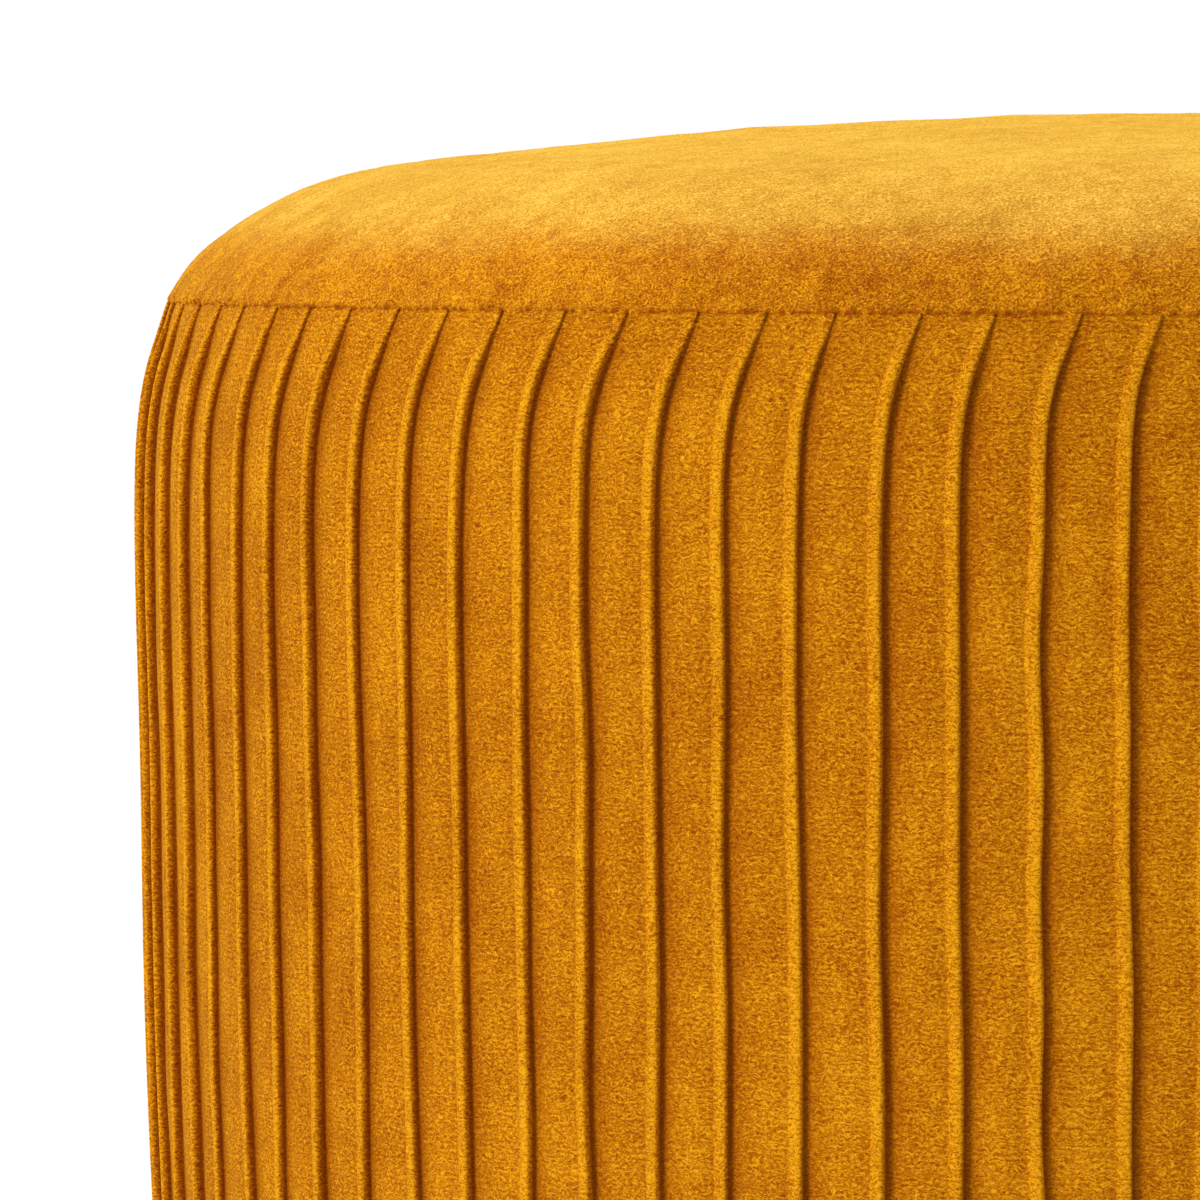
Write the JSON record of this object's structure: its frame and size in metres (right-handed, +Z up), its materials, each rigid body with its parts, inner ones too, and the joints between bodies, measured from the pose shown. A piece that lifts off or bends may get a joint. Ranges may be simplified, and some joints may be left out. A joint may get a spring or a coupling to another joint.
{
  "type": "storage ottoman",
  "caption": "Round storage ottoman with a domed plain velvet seat sewn to a pleated velvet side; the deep padded lid lifts off a lined drum.",
  "frame": {"origin": "centre of the footprint, on the floor under the glides", "axes": "+Z up and along the lid's lift, -Y towards the viewer; the ottoman is round, so X and Y are interchangeable"},
  "size_m": [0.4, 0.4, 0.43],
  "materials": {
    "velvet": "matte",
    "thread": "matte",
    "foam": "matte",
    "wadding": "matte",
    "lining": "matte",
    "black_cloth": "matte",
    "plywood": "matte",
    "fibreboard": "matte",
    "glide_plastic": "satin",
    "steel": "satin"
  },
  "bodies": {
    "drum": {"floor_glides": "glide_plastic", "glide_nails": "steel", "dust_cover": "black_cloth", "base_staples": "steel", "base_board": "plywood", "drum_wall": "plywood", "drum_wall_screws": "steel", "drum_side_foam": "foam", "drum_pleated_cover": "velvet", "drum_rim_staples": "steel", "neck_liner": "fibreboard", "storage_floor_board": "fibreboard", "storage_floor_lining": "lining", "storage_wall_lining": "lining"},
    "lid": {"lid_wall": "plywood", "lid_deck_board": "plywood", "lid_wall_screws": "steel", "lid_side_foam": "foam", "lid_pleated_cover": "velvet", "lid_rim_staples": "steel", "lid_wall_lining": "lining", "lid_deck_lining": "lining", "seat_foam": "foam", "seat_wadding": "wadding", "crown_cover": "velvet", "crown_seam_thread": "thread"}
  },
  "joints": [
    {"name": "lid_lift", "type": "slide", "parent": "drum", "child": "lid", "axis": [0, 0, 1], "range_m": [0, 0.25]}
  ]
}
